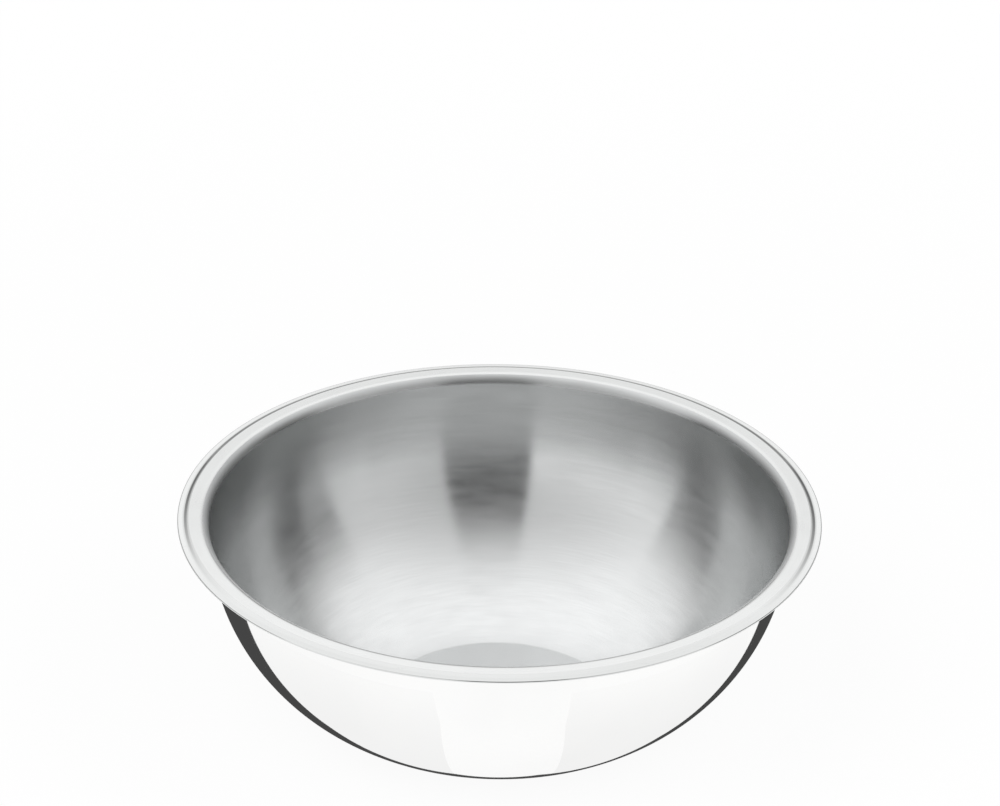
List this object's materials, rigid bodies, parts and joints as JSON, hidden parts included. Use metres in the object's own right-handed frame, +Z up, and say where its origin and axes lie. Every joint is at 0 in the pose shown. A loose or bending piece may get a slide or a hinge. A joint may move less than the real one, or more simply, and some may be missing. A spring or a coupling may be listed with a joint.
{
  "type": "mixing bowl",
  "caption": "Round stainless steel mixing bowl pressed in one piece, with a flat base, a deep curved wall, a flat rim and a curled edge.",
  "frame": {"origin": "middle of the underside of the flat base, on the surface that the bowl stands on", "axes": "+Z up along the bowl's axis of revolution, out of its mouth; X and Y are alike"},
  "size_m": [0.28, 0.28, 0.0971],
  "materials": {
    "stainless_sheet": "mirror polished outside, fine satin brushing inside and on the flat rim"
  },
  "bodies": {
    "root": {"bowl_shell": "stainless_sheet"}
  },
  "joints": []
}
